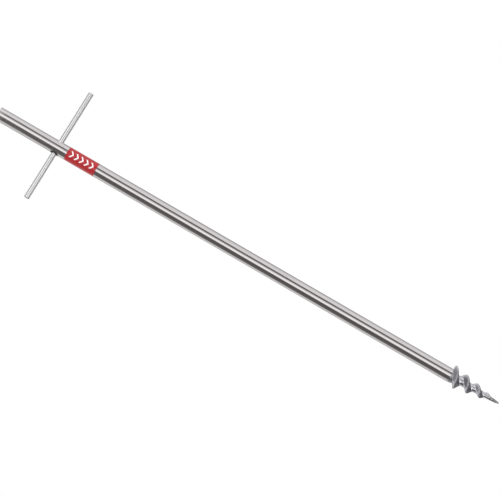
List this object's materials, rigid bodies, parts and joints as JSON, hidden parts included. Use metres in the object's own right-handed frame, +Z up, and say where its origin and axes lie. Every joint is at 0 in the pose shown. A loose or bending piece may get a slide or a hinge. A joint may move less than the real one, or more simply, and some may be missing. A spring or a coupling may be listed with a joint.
{
  "type": "soil auger",
  "caption": "Hand-turned ground auger: a long open-topped steel tube with a cast right-hand screw point at the bottom and a plain sliding cross bar near the top.",
  "frame": {"origin": "the tip of the screw point, where the auger meets the ground, on the tube's axis", "axes": "+Z up along the tube to its open end, +X along the cross bar towards the plain hole, -Y towards the printed side of the label"},
  "size_m": [0.193, 0.0321, 0.898],
  "materials": {
    "tube_chrome": "bright polished, with faint lengthwise handling marks",
    "cast_metal": "grey casting, satin, brighter on the core and the rims",
    "pin_steel": "dark spring steel",
    "bar_steel": "satin drawn bar",
    "black_rubber": "matte",
    "label_film": "glossy printed film"
  },
  "bodies": {
    "auger": {"main_tube": "tube_chrome", "screw_point": "cast_metal", "point_pin": "pin_steel", "bar_grommet": "black_rubber", "label": "label_film"},
    "cross_bar": {"tommy_bar": "bar_steel"}
  },
  "joints": [
    {"name": "bar_slide", "type": "slide", "parent": "auger", "child": "cross_bar", "axis": [1, 0, 0], "range_m": [-0.086, 0.077]}
  ]
}
